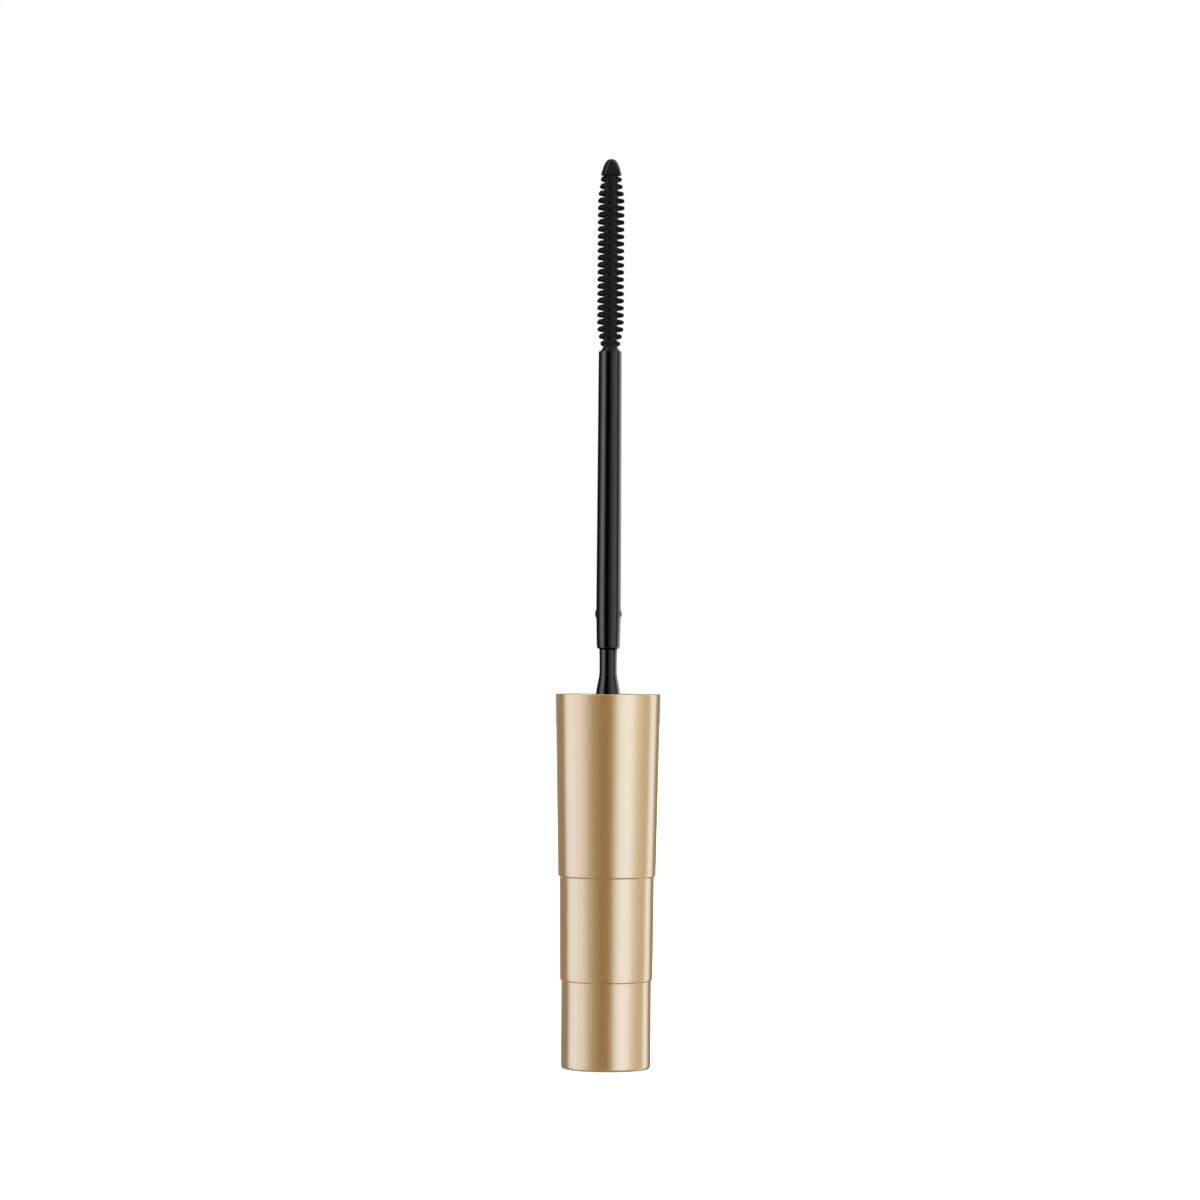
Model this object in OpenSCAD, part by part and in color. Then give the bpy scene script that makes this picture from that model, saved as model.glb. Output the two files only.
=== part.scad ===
// Mascara applicator: a three-tier screw cap with the wand fixed in it.
// It stands upside down on the cap's closed end, with the brush pointing up (+Z).
// The origin is the centre of the closed end. All sizes are in millimetres.

/* [Outer cap] */
// Height of the outer cap, from its closed end to its mouth
cap_h = 56.6; // [54:0.1:60]
// Outer diameter of the top tier at the mouth
mouth_d = 15.9; // [15.6:0.1:16.6]
// Outer diameter of the top tier just above its step
top_tier_d = 14.8; // [14.7:0.05:15.2]
// Outer diameter of the middle tier at its upper end
mid_tier_d = 14.3; // [14.1:0.05:14.5]
// Outer diameter of the bottom tier, which is a true cylinder
end_tier_d = 13.6; // [12.5:0.05:13.8]
// Height at which the bottom tier ends
end_tier_h = 13.2; // [10:0.1:16]
// Height at which the middle tier ends
mid_tier_h = 28.9; // [24:0.1:29.4]
// Wall thickness of the drawn shell
shell_t = 0.5; // [0.35:0.05:0.55]

/* [Inner cap] */
// How far the inner cap's rim lies below the mouth
rim_recess = 0.7; // [0.3:0.1:1.2]
// Depth of the screw socket, from the rim to the deck
socket_h = 12.5; // [11.5:0.1:13.5]
// Radius at the root of the thread
thread_root_r = 6.3; // [6.1:0.05:6.35]
// Height of the thread's ridge
thread_depth = 0.45; // [0.3:0.05:0.55]
// Lead of the single-start thread
thread_pitch = 3; // [2.4:0.1:3.4]
// Turns of the thread
thread_turns = 1.5; // [1:0.05:1.7]
// Radius of the plain entry above the thread, which takes the bottle's collar
entry_r = 6.6; // [6.5:0.05:6.65]

/* [Stem] */
// Radius of the flexible neck at its waist
waist_r = 1.31; // [1.2:0.01:1.4]
// Height of the waist above the cap's mouth
waist_rise = 4.6; // [3.8:0.1:5.4]
// Radius of the neck where it leaves the mouth
neck_r = 1.82; // [1.6:0.01:2]
// Length of the stem's tube
tube_h = 45.2; // [40:0.1:52]
// Radius of the tube just above its snap bumps
tube_r = 1.85; // [1.75:0.01:1.95]
// Radius of the tube at its upper end
tube_end_r = 1.75; // [1.65:0.01:1.85]
// Bore radius of the tube
tube_bore_r = 1.15; // [0.9:0.01:1.2]
// How far the two bumps over the snap bead stand out
bump_out = 0.2; // [0.05:0.01:0.3]

/* [Brush] */
// Height of the brush above the tube
brush_h = 29.2; // [28.5:0.05:32]
// Number of tooth rows along the brush
tooth_rows = 24; // [18:1:24]
// Distance between tooth rows
tooth_pitch = 1.085; // [1:0.005:1.1]
// Reach of the longest teeth from the axis
tooth_reach = 2.03; // [1.6:0.01:2.3]
// Radius of the brush's core
core_r = 1; // [0.85:0.01:1.05]
// Thickness of the core across the crests of its two smooth, slightly domed faces
core_flat = 1.6; // [1.3:0.05:1.7]
// Base radius of the bullet tip
tip_r = 1.58; // [1.3:0.01:1.7]
// Thickness of the bullet tip across its two flat faces
tip_flat = 2.3; // [2:0.05:3]
// Turn of the whole brush about the wand, away from its smooth face pointing along -Y
brush_turn = 14; // [-45:1:45]

/* [Hidden] */
$fn = 96;

// Outer cap: radii of the tiers, and the steps between them
mouth_r = mouth_d / 2;
top_r = top_tier_d / 2;
mid_r = mid_tier_d / 2;
end_r = end_tier_d / 2;
mid_draft = 0.13;        // how much the middle tier widens towards the mouth
mid_low_r = mid_r - mid_draft;
low_step_h = 0.62;
high_step_h = 0.3;
ledge_h = 0.18;          // height of the slanted ledge at the foot of the low step
ledge_out = 0.75 * (mid_low_r - end_r);
step_round = 0.08;       // length of the rounding at the outer edge of a step
high_top_z = mid_tier_h + high_step_h;
end_edge_r = 0.45;       // rounding round the closed end
lip_r = 0.12;            // rounding of the thin lip at the mouth
end_t = 0.8;             // thickness of the closed end

// Inner cap: deck, socket for the stem's head, core and fins
rim_z = cap_h - rim_recess;
deck_z = rim_z - socket_h;
deck_t = 1.2;
base_z = deck_z - deck_t;
entry_h = 4.2;
fit_gap = 0.03;          // gap between pieces pushed into each other
spline_h = 0.25;
spline_w = 0.7;
splines = 24;
fins = 8;
fin_t = 0.8;
core_tube_r = 3.2;
core_tube_bore = 2.1;
head_r = 1.85;
head_socket_r = head_r + fit_gap;
head_h = 8.4;
head_socket_z = deck_z - head_h - 0.3;
head_floor_t = 1.2;
barb_h = 0.9;
barb_out = 0.2;
core_z = high_top_z + 0.9;  // lower end of the core and its fins
core_lower_z = min(core_z, head_socket_z - head_floor_t - 0.5);

// Thread: one trapezoidal ridge that fades out at both ends
ridge_root = 1.3;
ridge_crest = 0.5;
ridge_sink = 0.12;       // how far the ridge is rooted in the wall
ridge_step = 9;          // degrees between sections
ridge_fade = 45;         // degrees over which an end fades
thread_z = deck_z + 2.1;

// Seal ring
seal_t = 0.8;
seal_bead_h = 0.15;

// Neck: flange on the deck, cosine-eased waist, tail inside the tube
flange_r = 2.9;
flange_h = 0.9;
flare_r = 2.3;
waist_z = cap_h + waist_rise;
tube_z = waist_z + 2.2;  // lower end of the tube
tail_h = 7.4;
tail_r = tube_bore_r - fit_gap;
bead_rise = 5.35;        // height of the snap bead above the tube's lower end
bead_out = 0.2;
bead_h = 1.2;
neck_top_r = waist_r + 0.04;

// Tube
tube_top_z = tube_z + tube_h;
tube_low_r = tube_r - 0.1;
tube_round = 0.45;       // rounding of the lower end
tube_top_round = 0.12;   // rounding of the upper end
bump_r = 1.1;            // radius of the sphere that makes a bump
shank_h = 8;

// Brush: rows, the bend between its two nodes, and the bullet tip
first_row_z = tube_top_z + 1.19;
flex_z = first_row_z + 2.5 * tooth_pitch;
top_z = tube_top_z + brush_h;
tip_h = 2.45;
tip_z = top_z - tip_h;
tip_under = 0.1;         // height of the tip's slanted underside
tooth_root = 0.86;       // thickness of a long tooth where it leaves the core
tooth_end = 0.5;         // thickness of a long tooth at its end
short_full = 0.65;       // thickness of a short tooth, as a share of a long one's
tooth_w = 0.42;          // width of a tooth across the brush
long_fan = 13;           // angle between a side's middle and each of its two long rows
short_fan = 41;          // angle between a side's middle and each of its two short rows
short_share = 0.72;      // reach of a short row, as a share of the long rows' reach
row_shift = 0.06;        // how far the two long rows of a side are offset, up or down
short_lift = 0.1;        // how far the short rows lie above the middle of the long ones
first_reach = 1.4;       // reach of the first teeth above the tube
last_reach = 1.58;       // reach of the teeth below the tip
reach_ease_h = 4.2;      // length over which the teeth grow to their full reach
face_r = 2.1;            // radius of the core's two domed faces
collar_r = 1.5;
collar_top_r = 1.06;
collar_h = 0.65;

GOLD = [0.79, 0.66, 0.44];
BLACK = [0.06, 0.06, 0.06];
SOFT_BLACK = [0.11, 0.11, 0.11];

// 0 to 1 along a cosine, with level ends
function ease(t) = (1 - cos(180 * min(1, max(0, t)))) / 2;

// A soft step from (r0, z0) to (r1, z0 + h) as [radius, height] points
function step_points(r0, r1, z0, h, n) =
    [for (i = [0:n]) [r0 + (r1 - r0) * ease(i / n), z0 + h * i / n]];

// Points of an arc about (cr, cz) from angle a0 to a1
function arc_points(cr, cz, r, a0, a1, n) =
    [for (i = [0:n]) let (a = a0 + (a1 - a0) * i / n) [cr + r * cos(a), cz + r * sin(a)]];

function reversed(v) = [for (i = [len(v) - 1:-1:0]) v[i]];

// Radius of the shell's inner wall in the top tier at height z
function wall_r(z) = top_r + (mouth_r - top_r) * (z - high_top_z) / (cap_h - high_top_z) - shell_t;

// Reach of the teeth at height z
function reach(z) = tooth_reach
    - (tooth_reach - first_reach) * (1 - ease((z - tube_top_z) / reach_ease_h))
    - (tooth_reach - last_reach) * ease((z - tip_z + reach_ease_h) / reach_ease_h);

function row_z(i) = first_row_z + i * tooth_pitch;

// Half-outline of the bullet tip: a blunt ogive over a slanted underside
function tip_points(n) = concat(
    [[0, tip_z - tip_under], [core_r - 0.05, tip_z - tip_under]],
    [for (i = [0:n]) let (t = sin(90 * i / n)) [tip_r * pow(1 - t, 0.35), tip_z + tip_h * t]]);

// Points of a quadratic curve from a to b, bent towards c
function bent_points(a, c, b, n) =
    [for (i = [0:n]) let (t = i / n) a * (1 - t) * (1 - t) + c * 2 * t * (1 - t) + b * t * t];

// A bevel from (r0, z0) out to (r1, z0 + h), rounded where it meets the tier above
function bevel_points(r0, r1, z0, h) =
    let (edge = [r1, z0 + h - step_round], foot = [r0, z0], out = (edge - foot) / norm(edge - foot))
    concat([foot], bent_points(edge - out * step_round, edge, [r1, z0 + h], 5));

// Side of the shell above its closed end: the outer surface, and the inner one, drawn in by the wall
outer_side = concat(
    [[end_r, end_tier_h]],
    bevel_points(end_r + ledge_out, mid_low_r, end_tier_h + ledge_h, low_step_h - ledge_h),
    bevel_points(mid_r, top_r, mid_tier_h, high_step_h));
inner_side = concat(
    bevel_points(end_r - shell_t, mid_low_r - shell_t, end_tier_h, low_step_h),
    bevel_points(mid_r - shell_t, top_r - shell_t, mid_tier_h, high_step_h));

module overcap() {
    outside = concat(
        [[0, 0]],
        arc_points(end_r - end_edge_r, end_edge_r, end_edge_r, -90, 0, 6),
        outer_side,
        arc_points(mouth_r - lip_r, cap_h - lip_r, lip_r, 0, 90, 4));
    inside = concat(
        [[mouth_r - shell_t, cap_h]],
        reversed(inner_side),
        [[end_r - shell_t, end_t], [0, end_t]]);
    color(GOLD) rotate_extrude() polygon(concat(outside, inside));
}

// One section of the thread's ridge, at angle a from its start
function ridge_section(a, total) =
    let (
        f = max(0.06, min(1, a / ridge_fade, (total - a) / ridge_fade)),
        z = thread_z + thread_pitch * a / 360,
        root = thread_root_r + ridge_sink,
        crest = thread_root_r - thread_depth * f,
        low = ridge_root / 2,
        tip = ridge_crest / 2
    )
    [for (p = [[root, -low], [crest, -tip], [crest, tip], [root, low]])
        [p[0] * cos(a), p[0] * sin(a), z + p[1]]];

module thread_ridge() {
    total = thread_turns * 360;
    n = ceil(total / ridge_step);
    points = [for (i = [0:n]) each ridge_section(total * i / n, total)];
    sides = [for (i = [0:n - 1], k = [0:3])
        let (a = 4 * i + k, b = 4 * i + (k + 1) % 4)
        each [[a, b, b + 4], [a, b + 4, a + 4]]];
    last = 4 * n;
    ends = [[0, 3, 2], [0, 2, 1], [last, last + 1, last + 2], [last, last + 2, last + 3]];
    polyhedron(points, [for (f = concat(sides, ends)) reversed(f)]);
}

// Radial slabs of thickness t, count of them, kept inside a ring's profile
module radial_slabs(count, t, profile) {
    intersection() {
        rotate_extrude() polygon(profile);
        for (i = [0:count - 1])
            rotate([0, 0, 360 * i / count])
                translate([0, -t / 2, 0])
                    cube([mouth_r, t, cap_h]);
    }
}

module inner_cap() {
    skirt_low_r = wall_r(base_z) - fit_gap - spline_h;
    skirt_top_r = wall_r(rim_z) - fit_gap - spline_h;
    entry_z = rim_z - entry_h;
    body = [
        [skirt_low_r, base_z],
        [skirt_top_r, rim_z],
        [entry_r, rim_z],
        [entry_r, entry_z],
        [thread_root_r, entry_z - 0.2],
        [thread_root_r, deck_z],
        [head_socket_r, deck_z],
        [head_socket_r, head_socket_z],
        [0, head_socket_z],
        [0, head_socket_z - head_floor_t],
        [core_tube_bore, head_socket_z - head_floor_t],
        [core_tube_bore, core_lower_z],
        [core_tube_r, core_lower_z],
        [core_tube_r, base_z]
    ];
    spline_ring = [
        [skirt_low_r - 0.1, base_z],
        [wall_r(base_z) - fit_gap, base_z],
        [wall_r(rim_z - 1) - fit_gap, rim_z - 1],
        [skirt_top_r - 0.1, rim_z - 0.6]
    ];
    fin_ring = [
        [core_tube_r - 0.3, core_lower_z],
        [wall_r(core_lower_z) - fit_gap, core_lower_z],
        [wall_r(base_z) - fit_gap, base_z],
        [wall_r(base_z) - fit_gap, base_z + 0.4],
        [core_tube_r - 0.3, base_z + 0.4]
    ];
    color(BLACK) union() {
        rotate_extrude() polygon(body);
        thread_ridge();
        radial_slabs(splines, spline_w, spline_ring);
        radial_slabs(fins, fin_t, fin_ring);
    }
}

module seal_ring() {
    r0 = flange_r + 0.2;
    r1 = thread_root_r - thread_depth - 0.15;
    rm = (r0 + r1) / 2 + 0.4;
    top = deck_z + seal_t;
    color(SOFT_BLACK) rotate_extrude() polygon([
        [r0, deck_z], [r1, deck_z], [r1, top - 0.1], [r1 - 0.1, top],
        [rm + 0.5, top], [rm + 0.25, top + seal_bead_h], [rm - 0.25, top + seal_bead_h], [rm - 0.5, top],
        [r0 + 0.1, top], [r0, top - 0.1]
    ]);
}

// Half-outline of a barb: a slow ramp that ends in a square shoulder
function barb(z) = [[head_r - barb_out, z], [head_r, z + barb_h], [head_r - barb_out, z + barb_h]];

module stem_neck() {
    head_z = deck_z - head_h;
    bead_z = tube_z + bead_rise;
    ease_h = waist_rise - 0.7;
    outline = concat(
        [[0, head_z], [head_r - 0.6, head_z], [head_r - barb_out, head_z + 0.6]],
        barb(head_z + 1.2), barb(head_z + 2.8), barb(head_z + 4.4),
        [[head_r - barb_out, head_z + 6.2], [head_r, head_z + 6.4], [head_r, deck_z]],
        [[flange_r, deck_z], [flange_r, deck_z + flange_h - 0.2], [flange_r - 0.2, deck_z + flange_h]],
        step_points(flare_r, neck_r, deck_z + flange_h, 4, 6),
        step_points(neck_r, waist_r, cap_h - 0.3, ease_h, 12),
        step_points(waist_r, neck_top_r, waist_z + 0.2, tube_z - waist_z - 0.2, 5),
        [[tail_r, tube_z], [tail_r, bead_z - bead_h / 2]],
        [[tail_r + bead_out, bead_z], [tail_r, bead_z + bead_h / 2]],
        [[tail_r, tube_z + tail_h - 0.4], [tail_r - 0.4, tube_z + tail_h], [0, tube_z + tail_h]]);
    color(SOFT_BLACK) rotate_extrude() polygon(outline);
}

module stem_tube() {
    bead_z = tube_z + bead_rise;
    outside = concat(
        [[0, tube_z]],
        arc_points(tube_low_r - tube_round, tube_z + tube_round, tube_round, -90, 0, 6),
        [[tube_r + 0.02, bead_z]],
        arc_points(tube_end_r - tube_top_round, tube_top_z - tube_top_round, tube_top_round, 0, 90, 6),
        [[0, tube_top_z]]);
    bore = [
        [0, tube_z - 1],
        [tube_bore_r, tube_z - 1],
        [tube_bore_r, bead_z - bead_h / 2],
        [tube_bore_r + bead_out, bead_z],
        [tube_bore_r, bead_z + bead_h / 2],
        [tube_bore_r, tube_top_z + 1],
        [0, tube_top_z + 1]
    ];
    color(BLACK) difference() {
        union() {
            rotate([0, 0, 90]) rotate_extrude() polygon(outside);
            for (turn = [0, 180])
                rotate([0, 0, turn])
                    translate([bump_r - tube_r - bump_out, 0, bead_z])
                        sphere(r = bump_r);
        }
        rotate_extrude() polygon(bore);
    }
}

// The brush's core between two heights: a rod with two slightly domed faces
module brush_core(z0, z1) {
    translate([0, 0, z0])
        linear_extrude(height = z1 - z0)
            intersection() {
                circle(r = core_r);
                translate([0, core_flat / 2 - face_r]) circle(r = face_r);
                translate([0, face_r - core_flat / 2]) circle(r = face_r);
            }
}

// One row of teeth, numbers i0 to i1, standing out along +X to a share of the full reach and thickness
module tooth_row(i0, i1, share, full, shift) {
    foot_r = core_r / 3;
    root_r = core_r - 0.12;
    half_root = full * tooth_root / 2;
    half_end = full * tooth_end / 2;
    outline = concat(
        [[foot_r, row_z(i1) + half_root], [foot_r, row_z(i0) - half_root]],
        [for (i = [i0:i1]) let (z = row_z(i)) each [
            [root_r, z - half_root],
            [share * reach(z), z - half_end],
            [share * reach(z), z + half_end],
            [root_r, z + half_root]
        ]]);
    translate([0, 0, shift])
        rotate([90, 0, 0])
            linear_extrude(height = tooth_w, center = true)
                polygon(outline);
}

// Four rows of teeth on each side of the core, two long ones between two short ones
module tooth_rows_between(i0, i1) {
    for (side = [0, 180], half = [-1, 1]) {
        rotate([0, 0, side + half * long_fan])
            tooth_row(i0, i1, 1, 1, half * row_shift);
        rotate([0, 0, side + half * short_fan])
            tooth_row(i0, i1, short_share, short_full, short_lift);
    }
}

module brush_root() {
    shank_r = tube_bore_r - fit_gap;
    shank_z = tube_top_z - shank_h;
    color(SOFT_BLACK) union() {
        rotate_extrude() polygon([
            [0, shank_z], [shank_r - 0.3, shank_z], [shank_r, shank_z + 0.6],
            [shank_r, tube_top_z], [collar_r, tube_top_z], [collar_top_r, tube_top_z + collar_h],
            [0, tube_top_z + collar_h]
        ]);
        rotate([0, 0, brush_turn]) {
            brush_core(tube_top_z + collar_h - 0.1, flex_z);
            tooth_rows_between(0, 2);
        }
    }
}

// The bullet tip: an ogive with two flat faces
module bullet_tip() {
    intersection() {
        rotate_extrude() polygon(tip_points(9));
        translate([-tip_r, -tip_flat / 2, 0])
            cube([2 * tip_r, tip_flat, top_z + 1]);
    }
}

module brush() {
    color(SOFT_BLACK) rotate([0, 0, brush_turn]) union() {
        brush_core(flex_z, tip_z + 0.3);
        tooth_rows_between(3, tooth_rows - 1);
        bullet_tip();
    }
}

overcap();
inner_cap();
seal_ring();
stem_neck();
stem_tube();
brush_root();
brush();
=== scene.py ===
"""Mascara applicator: the looks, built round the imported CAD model.

The applicator stands on the cap's closed end, with the wand pointing up along +Z. The cap is a satin
gold shell, the wand a glossy black tube on a flexible neck, and the brush one black elastomer moulding.
Lengths are in millimetres until MM turns them into metres.
"""

import math

import bpy
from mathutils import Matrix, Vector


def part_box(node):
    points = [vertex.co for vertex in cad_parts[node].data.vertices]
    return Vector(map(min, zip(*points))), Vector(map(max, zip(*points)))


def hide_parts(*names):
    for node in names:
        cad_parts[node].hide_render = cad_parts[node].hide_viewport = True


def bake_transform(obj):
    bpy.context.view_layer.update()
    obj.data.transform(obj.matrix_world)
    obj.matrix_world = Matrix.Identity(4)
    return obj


MM = 0.001

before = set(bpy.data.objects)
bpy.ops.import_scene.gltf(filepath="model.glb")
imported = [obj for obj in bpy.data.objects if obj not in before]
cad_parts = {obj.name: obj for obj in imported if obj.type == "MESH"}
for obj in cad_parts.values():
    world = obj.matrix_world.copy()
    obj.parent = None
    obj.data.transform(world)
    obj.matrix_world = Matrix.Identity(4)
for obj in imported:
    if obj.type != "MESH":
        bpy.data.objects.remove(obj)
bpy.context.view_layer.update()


def low_z(node):
    """Height of a CAD node's lowest point, in millimetres."""
    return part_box(node)[0].z / MM


def high_z(node):
    """Height of a CAD node's highest point, in millimetres."""
    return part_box(node)[1].z / MM


MOUTH_Z = high_z("overcap")
TUBE_LOW_Z = low_z("stem_tube")
TUBE_TOP_Z = high_z("stem_tube")
BRUSH_TOP_Z = high_z("brush")


# ---------------------------------------------------------------- node helpers
def new_material(name):
    """An empty node material with a Principled shader wired to its output."""
    mat = bpy.data.materials.new(name)
    mat.use_nodes = True
    tree = mat.node_tree
    tree.nodes.clear()
    out = tree.nodes.new("ShaderNodeOutputMaterial")
    shader = tree.nodes.new("ShaderNodeBsdfPrincipled")
    tree.links.new(shader.outputs["BSDF"], out.inputs["Surface"])
    return mat, tree, shader


def object_coords(tree, scale=(1, 1, 1)):
    """Object coordinates, which are the row's frame in metres, stretched by scale."""
    coords = tree.nodes.new("ShaderNodeTexCoord")
    mapping = tree.nodes.new("ShaderNodeMapping")
    mapping.inputs["Scale"].default_value = scale
    tree.links.new(coords.outputs["Object"], mapping.inputs["Vector"])
    return mapping.outputs["Vector"]


def noise(tree, vector, scale, detail=2):
    """A noise texture's value, 0 to 1, with scale in waves per metre."""
    node = tree.nodes.new("ShaderNodeTexNoise")
    node.inputs["Scale"].default_value = scale
    node.inputs["Detail"].default_value = detail
    tree.links.new(vector, node.inputs["Vector"])
    return node.outputs["Fac"]


def remap(tree, value, low, high, out_low, out_high):
    """Turns low..high into out_low..out_high, and holds it there."""
    node = tree.nodes.new("ShaderNodeMapRange")
    node.inputs["From Min"].default_value = low
    node.inputs["From Max"].default_value = high
    node.inputs["To Min"].default_value = out_low
    node.inputs["To Max"].default_value = out_high
    tree.links.new(value, node.inputs["Value"])
    return node.outputs["Result"]


def math_node(tree, operation, a, b):
    """One Math node. a and b are sockets or numbers."""
    node = tree.nodes.new("ShaderNodeMath")
    node.operation = operation
    for socket, value in zip(node.inputs, (a, b)):
        if isinstance(value, (int, float)):
            socket.default_value = value
        else:
            tree.links.new(value, socket)
    return node.outputs["Value"]


def mix_colors(tree, factor, color_a, color_b):
    """color_a where factor is 0, color_b where it is 1."""
    node = tree.nodes.new("ShaderNodeMix")
    node.data_type = "RGBA"
    node.inputs["A"].default_value = (*color_a, 1)
    node.inputs["B"].default_value = (*color_b, 1)
    tree.links.new(factor, node.inputs["Factor"])
    return node.outputs["Result"]


def add_bump(tree, shader, height, strength, distance):
    """A bump from a height value, distance in metres."""
    node = tree.nodes.new("ShaderNodeBump")
    node.inputs["Strength"].default_value = strength
    node.inputs["Distance"].default_value = distance
    tree.links.new(height, node.inputs["Height"])
    tree.links.new(node.outputs["Normal"], shader.inputs["Normal"])


# ---------------------------------------------------------------- materials
NOISE_BAND = (0.3, 0.7)        # nearly all of a noise texture's values lie between these
GOLD_TONES = ((0.875, 0.695, 0.435), (0.885, 0.705, 0.445))
GOLD_ROUGHNESS = (0.195, 0.205)
POLISH_ROUGHNESS = 0.02        # what the polish grain adds at most
POLISH_STRETCH = (0.15, 0.15, 1)
POLISH_DEPTH = 0.000005        # of the bump, in metres, like the two below
FLOW_STRETCH = (1, 1, 0.2)
FLOW_DEPTH = 0.00001
GRAIN_DEPTH = 0.00001


def grey(level):
    """A neutral linear colour."""
    return (level, level, level)


def satin_gold():
    """Satin gold anodised metal: a fine polish grain round the cap and slightly uneven gloss."""
    mat, tree, shader = new_material("satin_gold")
    shader.inputs["Metallic"].default_value = 1.0
    cloud = remap(tree, noise(tree, object_coords(tree), scale=900), *NOISE_BAND, 0, 1)
    polish = noise(tree, object_coords(tree, POLISH_STRETCH), scale=14000)
    tree.links.new(mix_colors(tree, cloud, *GOLD_TONES), shader.inputs["Base Color"])
    cloud_part = remap(tree, cloud, 0, 1, *GOLD_ROUGHNESS)
    polish_part = remap(tree, polish, *NOISE_BAND, 0, POLISH_ROUGHNESS)
    tree.links.new(math_node(tree, "ADD", cloud_part, polish_part), shader.inputs["Roughness"])
    add_bump(tree, shader, polish, strength=0.04, distance=POLISH_DEPTH)
    return mat


def black_gloss(name, rough, ripple):
    """Glossy moulded black plastic, with a gloss that flow marks make a little uneven."""
    mat, tree, shader = new_material(name)
    flow = noise(tree, object_coords(tree, FLOW_STRETCH), scale=1500)
    tree.links.new(mix_colors(tree, flow, grey(0.0005), grey(0.0012)), shader.inputs["Base Color"])
    uneven = remap(tree, flow, *NOISE_BAND, rough - 0.02, rough + 0.02)
    tree.links.new(uneven, shader.inputs["Roughness"])
    add_bump(tree, shader, flow, strength=ripple, distance=FLOW_DEPTH)
    return mat


def soft_moulded(name, base, level, rough, grain_size):
    """Semi-matt elastomer with a fine moulded grain. base is its grey, level its specular level."""
    mat, tree, shader = new_material(name)
    shader.inputs["Specular IOR Level"].default_value = level
    cloud = noise(tree, object_coords(tree), scale=1200)
    color = mix_colors(tree, cloud, grey(0.7 * base), grey(1.3 * base))
    tree.links.new(color, shader.inputs["Base Color"])
    uneven = remap(tree, cloud, *NOISE_BAND, rough - 0.05, rough + 0.05)
    tree.links.new(uneven, shader.inputs["Roughness"])
    grain = noise(tree, object_coords(tree), grain_size)
    add_bump(tree, shader, grain, strength=0.12, distance=GRAIN_DEPTH)
    return mat


def floor_white():
    """Matt white, very slightly uneven."""
    mat, tree, shader = new_material("floor_white")
    tone = noise(tree, object_coords(tree), scale=3)
    tree.links.new(mix_colors(tree, tone, grey(0.93), grey(0.95)), shader.inputs["Base Color"])
    shader.inputs["Roughness"].default_value = 0.9
    return mat


STEM_BLACK = black_gloss("stem_black", rough=0.05, ripple=0.01)
NECK_BLACK = black_gloss("neck_black", rough=0.08, ripple=0.02)
INSERT_BLACK = black_gloss("insert_black", rough=0.3, ripple=0.05)
BRUSH_BLACK = soft_moulded("brush_black", base=0.002, level=0.16, rough=0.32, grain_size=9000)
SEAL_GREY = soft_moulded("seal_grey", base=0.08, level=0.4, rough=0.6, grain_size=6000)


def dress(node, mat):
    """Gives a CAD node its material."""
    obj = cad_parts[node]
    obj.data.materials.clear()
    obj.data.materials.append(mat)
    return obj


overcap = dress("overcap", satin_gold())
inner_cap = dress("inner_cap", INSERT_BLACK)
seal_ring = dress("seal_ring", SEAL_GREY)
stem_tube = dress("stem_tube", STEM_BLACK)


# ---------------------------------------------------------------- mesh helpers
def ease(t):
    """0 to 1 along a cosine, level at both ends."""
    return (1 - math.cos(math.pi * min(1.0, max(0.0, t)))) / 2


def soft_step(r0, r1, z0, h, n):
    """A soft step from (r0, z0) to (r1, z0 + h), as (radius, height) points."""
    return [(r0 + (r1 - r0) * ease(i / n), z0 + h * i / n) for i in range(n + 1)]


class Shell:
    """Closed shapes collected into one mesh, in millimetres."""

    def __init__(self):
        self.verts = []
        self.faces = []

    def add_rings(self, rings, start, end):
        """Skins rings of equal length, and closes them on a start point and an end point."""
        first = len(self.verts)
        n = len(rings[0])
        self.verts.append(start)
        for ring in rings:
            self.verts.extend(ring)
        self.verts.append(end)
        last = len(self.verts) - 1
        for k in range(n):
            nxt = (k + 1) % n
            self.faces.append((first, first + 1 + nxt, first + 1 + k))
            for i in range(len(rings) - 1):
                low = first + 1 + i * n
                self.faces.append((low + k, low + nxt, low + n + nxt, low + n + k))
            top = last - n
            self.faces.append((top + k, top + nxt, last))

    def add_lathe(self, outline, sides):
        """Turns (radius, height) points about Z. The first and last height close it on the axis."""
        angles = [2 * math.pi * k / sides for k in range(sides)]
        rings = [[(r * math.cos(a), r * math.sin(a), z) for a in angles] for r, z in outline]
        self.add_rings(rings, (0, 0, outline[0][1]), (0, 0, outline[-1][1]))

    def to_object(self, name, mat):
        """One smooth-shaded object of all the shapes."""
        mesh = bpy.data.meshes.new(name)
        mesh.from_pydata([tuple(c * MM for c in v) for v in self.verts], [], self.faces)
        mesh.materials.append(mat)
        mesh.shade_smooth()
        obj = bpy.data.objects.new(name, mesh)
        bpy.context.collection.objects.link(obj)
        return obj


def apply_modifiers(obj):
    """Replaces the object's mesh by what its modifiers make of it."""
    depsgraph = bpy.context.evaluated_depsgraph_get()
    mesh = bpy.data.meshes.new_from_object(obj.evaluated_get(depsgraph))
    obj.modifiers.clear()
    obj.data = mesh
    mesh.shade_smooth()


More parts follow.
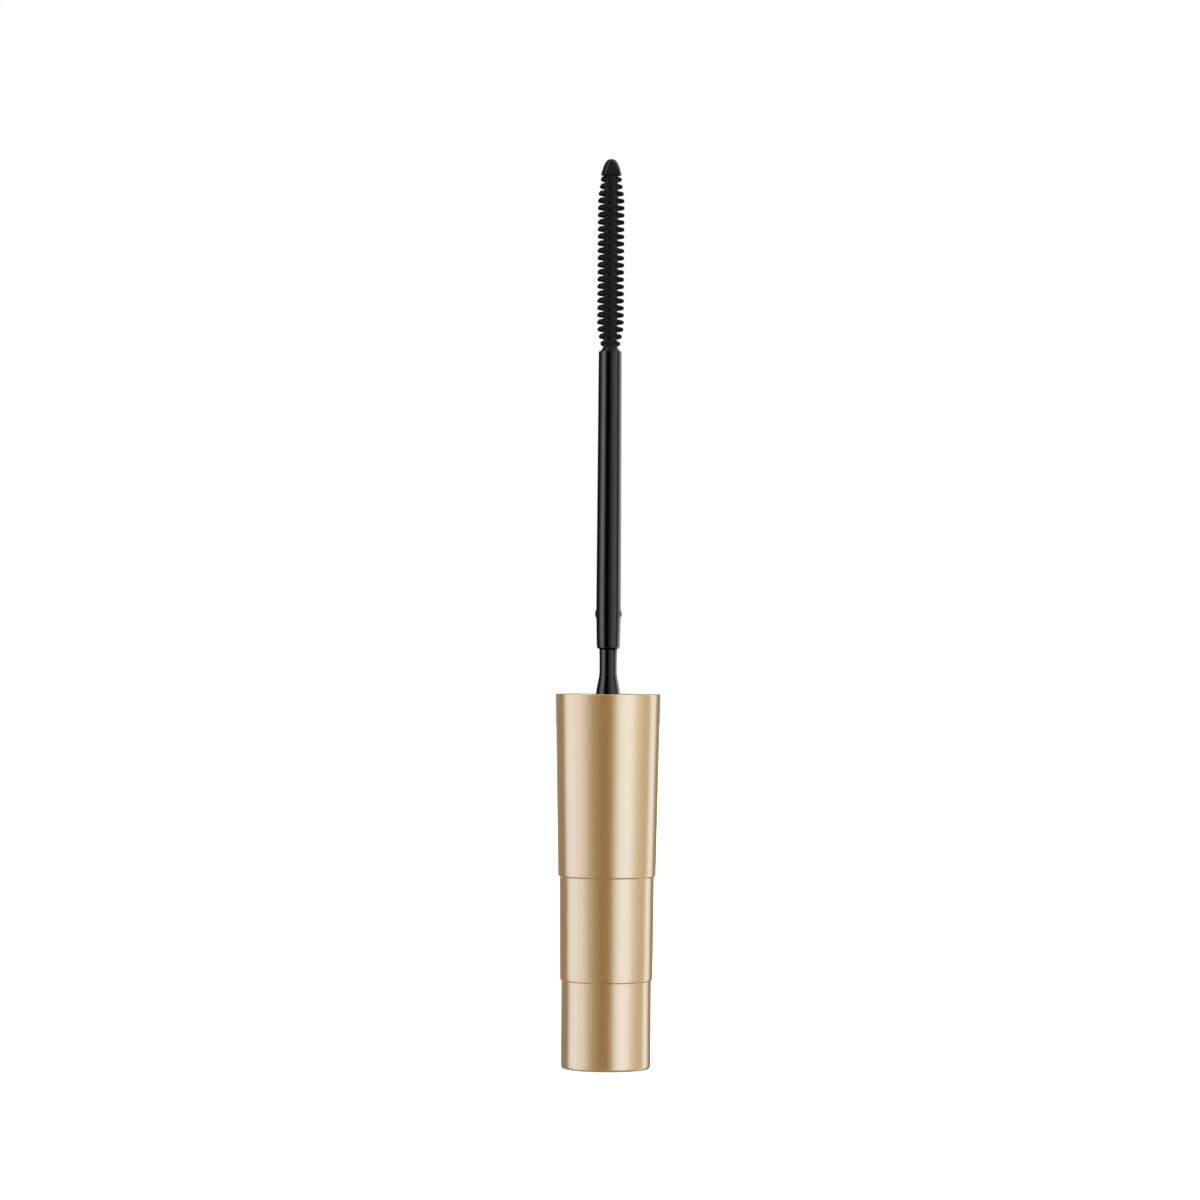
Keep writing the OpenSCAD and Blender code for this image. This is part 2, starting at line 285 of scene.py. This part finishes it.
# ---------------------------------------------------------------- neck
HEAD_R = 1.85            # at the barbs' crests
GROOVE_R = 1.65          # between the barbs
BARBS = (1.2, 2.8, 4.4)  # where the barbs begin, above the head's lower end
BARB_H = 0.9
COLLAR_Z = (6.2, 6.4)    # where the head widens below the deck, above its lower end
FLANGE_R = 2.9
FLANGE_H = 0.9
DECK_DEPTH = 13.2        # of the inner cap's deck, below the mouth
NECK_FOOT_R = 2.3        # where the neck leaves the flange
NECK_R = 1.82
WAIST_R = 1.31
WAIST_END = 4.8          # where the waist begins to widen to the tube, above the mouth
TAIL_R = 1.12
BEAD_LIFT = 5.35         # of the snap bead's crest, above the tube's lower end
BEAD_HALF = 0.6
LATHE_SIDES = 96


def make_neck():
    """The flexible link: a barbed head in the cap, a waist above its mouth and a tail in the tube."""
    head_z = low_z("stem_neck")
    tail_top = high_z("stem_neck")
    waist_z = MOUTH_Z + WAIST_END
    deck_z = MOUTH_Z - DECK_DEPTH
    flange_top = deck_z + FLANGE_H
    bead_z = TUBE_LOW_Z + BEAD_LIFT
    outline = [(HEAD_R - 0.6, head_z), (GROOVE_R, head_z + 0.6)]
    for start in BARBS:
        crest_z = head_z + start + BARB_H
        outline += [(GROOVE_R, head_z + start), (HEAD_R, crest_z), (GROOVE_R, crest_z + 0.02)]
    outline += [(GROOVE_R, head_z + COLLAR_Z[0]), (HEAD_R, head_z + COLLAR_Z[1]), (HEAD_R, deck_z)]
    outline += [(FLANGE_R, deck_z), (FLANGE_R, flange_top - 0.2), (FLANGE_R - 0.2, flange_top)]
    outline += soft_step(NECK_FOOT_R, NECK_R, flange_top, h=4, n=12)
    outline += soft_step(NECK_R, WAIST_R, MOUTH_Z - 0.3, h=3.9, n=20)
    outline += soft_step(WAIST_R, WAIST_R + 0.04, waist_z, h=TUBE_LOW_Z - waist_z, n=8)
    outline += [(TAIL_R, TUBE_LOW_Z), (TAIL_R, bead_z - BEAD_HALF)]
    outline += [(TAIL_R + 0.2, bead_z), (TAIL_R, bead_z + BEAD_HALF)]
    outline += [(TAIL_R, tail_top - 0.4), (TAIL_R - 0.4, tail_top)]
    shell = Shell()
    shell.add_lathe(outline, LATHE_SIDES)
    neck = shell.to_object("neck", NECK_BLACK)
    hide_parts("stem_neck")
    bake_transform(neck)
    return neck


# ---------------------------------------------------------------- brush
PITCH = 1.085
ROWS = 24
REACH = 2.03
FIRST_REACH = 1.4
LAST_REACH = 1.58
EASE_H = 4.2             # length over which the teeth grow from either end of the brush
CORE_R = 1.0
CORE_FACE = 0.8          # distance of each smooth face's crest from the axis
FACE_R = 2.1             # radius of the smooth faces, which are slightly domed
TIP_R = 1.58
TIP_H = 2.45
TIP_UNDER = 0.1          # height of its slanted underside
TIP_BLUNT = 0.35         # the lower, the blunter
TIP_STEPS = 20
TIP_Z = BRUSH_TOP_Z - TIP_H
TIP_FLAT = 1.15          # distance of the tip's two flat faces from the axis
FIRST_ROW_Z = TUBE_TOP_Z + 1.19
LONG_FAN = 13            # degrees from a side's middle to its long rows, and to its short rows
SHORT_FAN = 41
SHORT_SHARE = 0.72
ROW_SHIFT = 0.06
SHORT_LIFT = 0.1
SHORT_FULLNESS = 0.65    # height of a short tooth's section as a share of a long one's
TOOTH_FOOT = 0.6         # where a tooth begins inside the core, from the axis
TOOTH_SIDES = 12
CORE_SIDES = 64
SHANK_R = 1.12
SHANK_TIP = (0.82, 0.6)  # radius of the shank's chamfered end, and the chamfer's height
FOOT_R = (1.5, 1.06)     # of the brush's foot on the tube's end, and where it meets the spine
FOOT_H = 0.65
VOXEL = 0.075
BRUSH_TURN = math.radians(14)


def tooth_reach(z):
    """How far the long teeth stand out from the axis at height z."""
    low = (REACH - FIRST_REACH) * (1 - ease((z - TUBE_TOP_Z) / EASE_H))
    high = (REACH - LAST_REACH) * ease((z - TIP_Z + EASE_H) / EASE_H)
    return REACH - low - high


def add_tooth(shell, angle, z, reach, fullness):
    """One tapered peg with a blunt end, standing out from inside the core at an angle in degrees."""
    a = math.radians(angle)
    # Along the peg: place, half height at full size, half width
    stations = [
        (TOOTH_FOOT, 0.53, 0.24),
        (CORE_R - 0.1, 0.5, 0.24),
        (reach - 0.2, 0.33, 0.21),
        (reach - 0.05, 0.26, 0.18),
        (reach, 0.15, 0.12),
    ]
    stations = [(out, fullness * half_h, half_w) for out, half_h, half_w in stations]
    rings = []
    for out, half_h, half_w in stations:
        ring = []
        for k in range(TOOTH_SIDES):
            t = 2 * math.pi * k / TOOTH_SIDES
            across = half_w * math.cos(t)
            up = half_h * math.sin(t)
            x = out * math.cos(a) - across * math.sin(a)
            y = out * math.sin(a) + across * math.cos(a)
            ring.append((x, y, z + up))
        rings.append(ring)
    start = (TOOTH_FOOT * math.cos(a), TOOTH_FOOT * math.sin(a), z)
    end = (reach * math.cos(a), reach * math.sin(a), z)
    shell.add_rings(rings, start, end)


def add_core(shell, z0, z1):
    """The spine: a rod with two slightly domed smooth faces."""
    ring = []
    for k in range(CORE_SIDES):
        a = 2 * math.pi * k / CORE_SIDES
        x = CORE_R * math.cos(a)
        dome = CORE_FACE - FACE_R + math.sqrt(FACE_R**2 - x**2)
        ring.append((x, min(dome, max(-dome, CORE_R * math.sin(a)))))
    rings = [[(x, y, z) for x, y in ring] for z in (z0, z1)]
    shell.add_rings(rings, (0, 0, z0), (0, 0, z1))


def add_tip(shell):
    """The bullet tip: a blunt ogive over a slanted underside, cut by two flat faces."""
    outline = [(CORE_R - 0.05, TIP_Z - TIP_UNDER), (TIP_R - 0.03, TIP_Z - 0.02)]
    for i in range(TIP_STEPS):
        t = math.sin(math.pi / 2 * i / TIP_STEPS)
        outline.append((TIP_R * (1 - t) ** TIP_BLUNT, TIP_Z + TIP_H * t))
    rings = []
    for r, z in outline:
        ring = []
        for k in range(LATHE_SIDES):
            a = 2 * math.pi * k / LATHE_SIDES
            y = min(TIP_FLAT, max(-TIP_FLAT, r * math.sin(a)))
            ring.append((r * math.cos(a), y, z))
        rings.append(ring)
    shell.add_rings(rings, (0, 0, TIP_Z - TIP_UNDER), (0, 0, BRUSH_TOP_Z))


def make_brush():
    """The moulded brush and its shank, remeshed so that teeth, spine and tip flow together."""
    shell = Shell()
    shank_z = low_z("brush_root")
    shank_tip_r, chamfer_h = SHANK_TIP
    shank = [(shank_tip_r, shank_z), (SHANK_R, shank_z + chamfer_h), (SHANK_R, TUBE_TOP_Z)]
    foot = [(FOOT_R[0], TUBE_TOP_Z), (FOOT_R[1], TUBE_TOP_Z + FOOT_H)]
    shell.add_lathe(shank + foot, CORE_SIDES)
    add_core(shell, TUBE_TOP_Z + 0.5, TIP_Z)
    for i in range(ROWS):
        z = FIRST_ROW_Z + i * PITCH
        for side in (0, 180):
            for half in (-1, 1):
                reach = tooth_reach(z)
                short_reach = max(CORE_R + 0.2, SHORT_SHARE * reach)
                long_angle, short_angle = side + half * LONG_FAN, side + half * SHORT_FAN
                add_tooth(shell, long_angle, z + half * ROW_SHIFT, reach, 1)
                add_tooth(shell, short_angle, z + SHORT_LIFT, short_reach, SHORT_FULLNESS)
    add_tip(shell)
    c, s = math.cos(BRUSH_TURN), math.sin(BRUSH_TURN)
    shell.verts = [(x * c - y * s, x * s + y * c, z) for x, y, z in shell.verts]
    brush = shell.to_object("comb_brush", BRUSH_BLACK)
    remesh = brush.modifiers.new("remesh", "REMESH")
    remesh.mode = "VOXEL"
    remesh.voxel_size = VOXEL * MM
    smooth = brush.modifiers.new("smooth", "SMOOTH")
    smooth.factor = 0.5
    smooth.iterations = 2
    apply_modifiers(brush)
    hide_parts("brush", "brush_root")
    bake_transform(brush)
    return brush


neck = make_neck()
comb_brush = make_brush()

# ---------------------------------------------------------------- camera
CAMERA_X = -1.29         # a little left of the wand, in mm
CAMERA_DISTANCE = 586    # from the wand's axis, in mm
CAMERA_Z = 62            # height above the floor, in mm
CAMERA_PITCH = math.radians(0.6865)
CAMERA_ROLL = math.radians(0.381)
CAMERA_LENS = 115.94     # in mm, as is the sensor's width
CAMERA_SENSOR = 36
CAMERA_SHIFT_Y = 0.01


def add_camera():
    """The photograph's view: about level with the cap's mouth, a little to the wand's left."""
    data = bpy.data.cameras.new("camera")
    data.lens = CAMERA_LENS
    data.sensor_width = CAMERA_SENSOR
    data.shift_y = CAMERA_SHIFT_Y
    data.clip_start = 0.01
    data.clip_end = 20
    cam = bpy.data.objects.new("camera", data)
    cam.location = (CAMERA_X * MM, -CAMERA_DISTANCE * MM, CAMERA_Z * MM)
    cam.rotation_euler = (math.pi / 2 + CAMERA_PITCH, 0, 0)
    cam.rotation_euler.rotate_axis("Z", CAMERA_ROLL)
    bpy.context.collection.objects.link(cam)
    bpy.context.scene.camera = cam


add_camera()


# ---------------------------------------------------------------- floor and light
FLOOR_HALF = 3           # half the floor's side, in metres


def add_floor():
    """A square white floor, which glossy rays pass through."""
    h = FLOOR_HALF
    mesh = bpy.data.meshes.new("floor")
    mesh.from_pydata([(-h, -h, 0), (h, -h, 0), (h, h, 0), (-h, h, 0)], [], [(0, 1, 2, 3)])
    mesh.materials.append(floor_white())
    floor = bpy.data.objects.new("floor", mesh)
    bpy.context.collection.objects.link(floor)
    floor.visible_glossy = False
    floor.visible_shadow = False


# The studio round the cap: degrees from the camera's side towards +X, and the light's linear colour
CAP_STUDIO = [
    (-180, (0.6, 0.58, 0.6)),
    (-166, (0.6, 0.58, 0.6)),
    (-152, (0.325, 0.25, 0.165)),
    (-116, (0.325, 0.25, 0.165)),
    (-105, (0.88, 0.97, 1.24)),
    (-84, (0.92, 1.01, 1.32)),
    (-60, (0.82, 0.83, 0.95)),
    (-34, (0.44, 0.37, 0.275)),
    (-14, (0.325, 0.222, 0.115)),
    (4, (0.325, 0.222, 0.115)),
    (12, (0.46, 0.375, 0.28)),
    (21, (0.78, 0.8, 0.89)),
    (30, (0.96, 1.07, 1.38)),
    (54, (1, 1.12, 1.46)),
    (66, (0.81, 0.81, 0.84)),
    (84, (0.65, 0.585, 0.49)),
    (105, (0.59, 0.52, 0.43)),
    (114, (0.98, 1.06, 1.34)),
    (130, (0.98, 1.06, 1.3)),
    (138, (0.34, 0.26, 0.165)),
    (166, (0.34, 0.26, 0.165)),
    (180, (0.6, 0.58, 0.6)),
]
# The same studio as the black wand sees it: one key strip, one softer fill, one rim strip
WAND_LEVELS = [
    (-180, 0.2),
    (-150, 0.05),
    (-118, 0.05),
    (-98, 0.4),
    (-78, 2.3),
    (-62, 2.9),
    (-46, 1.2),
    (-34, 0.1),
    (-28, 0),
    (-6, 0),
    (17, 0.5),
    (40, 1.2),
    (66, 1.6),
    (76, 1.1),
    (88, 0.15),
    (96, 0.4),
    (108, 1.8),
    (135, 2),
    (150, 1.2),
    (162, 0.5),
    (180, 0.2),
]
WAND_STUDIO = [(degrees, grey(level)) for degrees, level in WAND_LEVELS]
# The two glowing walls, in metres
WALL_SIDES = 128
WALL_LOW = -7
WALL_HIGH = 2.6
CAP_WALL_R = 1.1
WAND_WALL_R = 1.0
DIM_DEPTH = 0.13         # depth below the floor over which the walls grow a little dimmer
WALL_DIM = 0.94          # the share of their light that is left there
WALL_FOOT = (-1.3, -0.85)  # heights between which the walls turn into their brown foot
WALL_FOOT_COLOR = (0.42, 0.32, 0.2)
# The world, as linear grey levels
SKY_GREY = 0.5
SOFTBOX = 3.0
SOFTBOX_EDGE = (0.5, 0.75)  # the sine of the height angle at the softbox's soft edge
GLOSSY_SHARE = 0.3       # of the world's light, in reflections


def studio_color(tree, bands):
    """A colour by direction round the object and a strength by height, from the wall's coordinates."""
    coords = tree.nodes.new("ShaderNodeTexCoord")
    split = tree.nodes.new("ShaderNodeSeparateXYZ")
    tree.links.new(coords.outputs["Object"], split.inputs["Vector"])
    x, y, z = split.outputs
    azimuth = math_node(tree, "ARCTAN2", x, math_node(tree, "MULTIPLY", y, -1))
    ramp = tree.nodes.new("ShaderNodeValToRGB")
    elements = ramp.color_ramp.elements
    while len(elements) < len(bands):
        elements.new(0.5)
    for element, (degrees, _) in zip(elements, bands):
        element.position = (degrees + 180) / 360
    for element, (_, color) in zip(elements, bands):
        element.color = (*color, 1)
    turn = math_node(tree, "DIVIDE", azimuth, 2 * math.pi)
    tree.links.new(math_node(tree, "ADD", turn, 0.5), ramp.inputs["Fac"])
    foot = tree.nodes.new("ShaderNodeMix")
    foot.data_type = "RGBA"
    foot.inputs["A"].default_value = (*WALL_FOOT_COLOR, 1)
    tree.links.new(ramp.outputs["Color"], foot.inputs["B"])
    tree.links.new(remap(tree, z, *WALL_FOOT, 0, 1), foot.inputs["Factor"])
    return foot.outputs["Result"], remap(tree, z, -DIM_DEPTH, 0, WALL_DIM, 1)


def add_light_wall(name, radius, bands, see_through, receivers):
    """A round glowing wall that only glossy rays see, and that lights only its receivers.

    A wall that is see_through lets the light of what is behind it pass.
    """
    sides = WALL_SIDES
    angles = [2 * math.pi * k / sides for k in range(sides)]
    verts = []
    for z in (WALL_LOW, WALL_HIGH):
        verts.extend((radius * math.cos(a), radius * math.sin(a), z) for a in angles)
    faces = [(k, (k + 1) % sides, sides + (k + 1) % sides, sides + k) for k in range(sides)]
    mesh = bpy.data.meshes.new(name)
    mesh.from_pydata(verts, [], faces)
    mat = bpy.data.materials.new(name)
    mat.use_nodes = True
    tree = mat.node_tree
    tree.nodes.clear()
    out = tree.nodes.new("ShaderNodeOutputMaterial")
    glow = tree.nodes.new("ShaderNodeEmission")
    color, strength = studio_color(tree, bands)
    tree.links.new(color, glow.inputs["Color"])
    tree.links.new(strength, glow.inputs["Strength"])
    surface = glow.outputs["Emission"]
    if see_through:
        clear = tree.nodes.new("ShaderNodeBsdfTransparent")
        both = tree.nodes.new("ShaderNodeAddShader")
        tree.links.new(surface, both.inputs[0])
        tree.links.new(clear.outputs["BSDF"], both.inputs[1])
        surface = both.outputs["Shader"]
    tree.links.new(surface, out.inputs["Surface"])
    mat.cycles.emission_sampling = "NONE"
    mesh.materials.append(mat)
    wall = bpy.data.objects.new(name, mesh)
    bpy.context.collection.objects.link(wall)
    wall.visible_camera = False
    wall.visible_diffuse = False
    wall.visible_transmission = False
    wall.visible_volume_scatter = False
    wall.visible_shadow = False
    lit = bpy.data.collections.new(name + "_receivers")
    for obj in receivers:
        lit.objects.link(obj)
    wall.light_linking.receiver_collection = lit


def add_world():
    """Soft grey with a large bright softbox overhead, and plain white where the camera sees it."""
    world = bpy.data.worlds.new("studio")
    bpy.context.scene.world = world
    world.use_nodes = True
    tree = world.node_tree
    tree.nodes.clear()
    out = tree.nodes.new("ShaderNodeOutputWorld")
    coords = tree.nodes.new("ShaderNodeTexCoord")
    split = tree.nodes.new("ShaderNodeSeparateXYZ")
    tree.links.new(coords.outputs["Generated"], split.inputs["Vector"])
    overhead = remap(tree, split.outputs["Z"], *SOFTBOX_EDGE, 0, 1)
    dome = mix_colors(tree, overhead, grey(SKY_GREY), grey(SOFTBOX))
    path = tree.nodes.new("ShaderNodeLightPath")
    studio = tree.nodes.new("ShaderNodeBackground")
    tree.links.new(dome, studio.inputs["Color"])
    share = remap(tree, path.outputs["Is Glossy Ray"], 0, 1, 1, GLOSSY_SHARE)
    tree.links.new(share, studio.inputs["Strength"])
    white = tree.nodes.new("ShaderNodeBackground")
    white.inputs["Color"].default_value = (1, 1, 1, 1)
    mix = tree.nodes.new("ShaderNodeMixShader")
    tree.links.new(path.outputs["Is Camera Ray"], mix.inputs["Fac"])
    tree.links.new(studio.outputs["Background"], mix.inputs[1])
    tree.links.new(white.outputs["Background"], mix.inputs[2])
    tree.links.new(mix.outputs["Shader"], out.inputs["Surface"])


add_floor()
add_light_wall("cap_studio", CAP_WALL_R, CAP_STUDIO, see_through=False, receivers=[overcap])
wand = [stem_tube, neck, comb_brush, inner_cap, seal_ring]
add_light_wall("wand_studio", WAND_WALL_R, WAND_STUDIO, see_through=True, receivers=wand)
add_world()

scene = bpy.context.scene
scene.view_settings.view_transform = "Standard"
scene.view_settings.look = "None"
